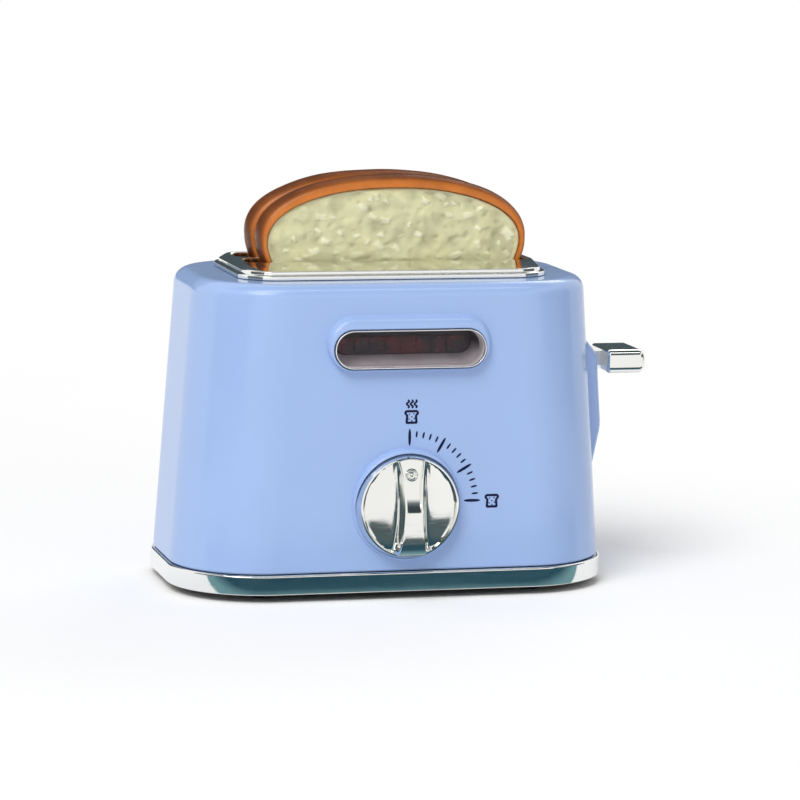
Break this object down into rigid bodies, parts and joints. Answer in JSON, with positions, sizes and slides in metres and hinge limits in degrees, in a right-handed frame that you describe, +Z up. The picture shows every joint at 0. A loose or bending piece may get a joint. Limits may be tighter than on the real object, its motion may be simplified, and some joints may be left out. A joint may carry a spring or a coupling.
{
  "type": "toy toaster",
  "caption": "Toy toaster with a light blue casing, chrome trim, bread slices on a spring-returned lever carriage, a turning knob that works a latch, and a smoked window.",
  "frame": {"origin": "centre of the base's flat underside, on the outer face of the battery door; the four feet reach 2.5 mm below it", "axes": "+X to the right seen from the front, towards the lever; +Y from the knob's side to the back; +Z up, towards the bread slots"},
  "size_m": [0.1835, 0.1063, 0.1518],
  "materials": {
    "blue_plastic": "glossy light blue moulded plastic",
    "chrome": "bright chrome plating on plastic",
    "dark_plastic": "dark grey moulded plastic",
    "pale_plastic": "pale grey moulded plastic",
    "rubber": "black rubber",
    "crust": "glossy orange brown paint",
    "crumb": "cream plastic with a lumpy surface",
    "smoked_lens": "smoked clear plastic",
    "silver_plastic": "silver coloured plastic",
    "red_plastic": "red plastic that glows when lit",
    "lamp": "clear red lamp body",
    "board": "green coated board",
    "steel": "plain bright steel",
    "brass": "bright brass strip",
    "cell": "plain dark grey cell jacket",
    "wire_red": "red wire cover",
    "wire_black": "black wire cover",
    "wire_white": "white wire cover"
  },
  "bodies": {
    "housing": {"main_shell": "blue_plastic", "base_plate": "dark_plastic", "plinth": "chrome", "foot_1": "rubber", "foot_2": "rubber", "foot_3": "rubber", "foot_4": "rubber", "base_screw_1": "steel", "base_screw_2": "steel", "base_screw_3": "steel", "base_screw_4": "steel", "battery_door": "dark_plastic", "door_screw": "steel", "battery_front": "cell", "battery_rear": "cell", "contact_link": "brass", "contact_plus": "brass", "contact_minus": "brass", "battery_spring_front": "steel", "battery_spring_rear": "steel", "switch_strip_front": "brass", "switch_strip_rear": "brass", "slot_frame": "chrome", "bread_well": "dark_plastic", "guide_rod_front": "steel", "guide_rod_rear": "steel", "return_spring_front": "steel", "return_spring_rear": "steel", "window_bezel": "chrome", "window_lens": "smoked_lens", "window_tray": "silver_plastic", "glow_panel": "red_plastic", "lamp_left": "lamp", "lamp_right": "lamp", "lamp_board": "board", "mechanism_plate": "pale_plastic", "click_spring": "steel", "latch_pin": "steel", "latch_spring": "steel", "wire_red": "wire_red", "wire_black": "wire_black", "wire_white": "wire_white"},
    "lever_carriage": {"bread_carriage": "pale_plastic", "rack_front": "steel", "rack_rear": "steel", "lever_arm": "steel", "lever_knob": "chrome", "switch_bridge": "brass"},
    "dial_knob": {"knob": "chrome", "knob_shaft": "dark_plastic", "click_wheel": "pale_plastic", "release_cam": "pale_plastic", "shaft_clip": "steel"},
    "latch_rocker": {"latch": "pale_plastic"},
    "front_slice": {"slice_front_crumb": "crumb", "slice_front_crust": "crust"},
    "rear_slice": {"slice_rear_crumb": "crumb", "slice_rear_crust": "crust"}
  },
  "joints": [
    {"name": "lever_press", "type": "slide", "parent": "housing", "child": "lever_carriage", "axis": [0, 0, -1], "range_m": [0, 0.0345], "stiffness_N_per_m": 150, "springref_m": -0.035, "deforming": ["return_spring_front", "return_spring_rear"]},
    {"name": "knob_turn", "type": "hinge", "parent": "housing", "child": "dial_knob", "pos_m": [0, -0.0485, 0.0319], "axis": [0, 1, 0], "range_deg": [0, 90]},
    {"name": "latch_swing", "type": "hinge", "parent": "housing", "child": "latch_rocker", "pos_m": [0.046, -0.0315, 0.015], "axis": [0, 1, 0], "range_deg": [0, 5]},
    {"name": "front_slice_lift", "type": "slide", "parent": "lever_carriage", "child": "front_slice", "axis": [0, 0, 1], "range_m": [0, 0.1]},
    {"name": "rear_slice_lift", "type": "slide", "parent": "lever_carriage", "child": "rear_slice", "axis": [0, 0, 1], "range_m": [0, 0.1]}
  ],
  "couplings": [
    {"joint": "latch_swing", "follows": "knob_turn", "ratio": 0.055556}
  ]
}
